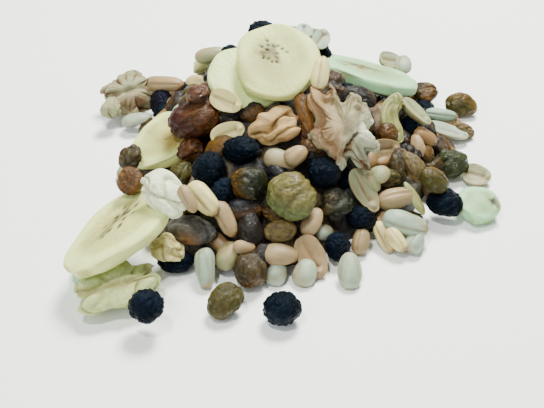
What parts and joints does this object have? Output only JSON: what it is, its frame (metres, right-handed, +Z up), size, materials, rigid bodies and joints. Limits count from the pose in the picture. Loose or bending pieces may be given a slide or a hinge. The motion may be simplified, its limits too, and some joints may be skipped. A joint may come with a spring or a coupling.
{
  "type": "heap of trail mix",
  "caption": "Loose heap of trail mix lying on a surface: peanuts, raisins and dried blueberries with banana slices and walnut halves on top.",
  "frame": {"origin": "on the surface that the heap lies on, below the middle of the heap", "axes": "+Z up, square to the surface; -Y is the side that faces the viewer; +X is to the viewer's right"},
  "size_m": [0.1391, 0.1503, 0.0519],
  "materials": {
    "nut_and_raisin_mix": "mixed dull and waxy food",
    "dried_banana": "dull, slightly waxy",
    "walnut_kernel": "dull, oily sheen",
    "fruit_strip": "waxy",
    "peanut": "dull, slightly oily",
    "green_raisin": "translucent, waxy",
    "brown_raisin": "translucent, waxy",
    "blueberry": "wrinkled, satin",
    "hidden_core": "dull"
  },
  "bodies": {
    "root": {"trail_mix_heap": "nut_and_raisin_mix", "banana_slice_top": "dried_banana", "banana_slice_beneath_top": "dried_banana", "banana_slice_right": "dried_banana", "banana_slice_left": "dried_banana", "banana_slice_front": "dried_banana", "banana_slice_edge": "dried_banana", "banana_chip_front": "dried_banana", "banana_slice_back_left": "dried_banana", "banana_slice_back_right": "dried_banana", "walnut_left": "walnut_kernel", "walnut_right": "walnut_kernel", "walnut_middle": "walnut_kernel", "walnut_front": "walnut_kernel", "walnut_back": "walnut_kernel", "fruit_curl": "fruit_strip", "peanut_front": "peanut", "raisin_front": "green_raisin", "raisin_right": "green_raisin", "blueberry_front": "blueberry", "blueberry_front_left": "blueberry"}
  },
  "joints": []
}
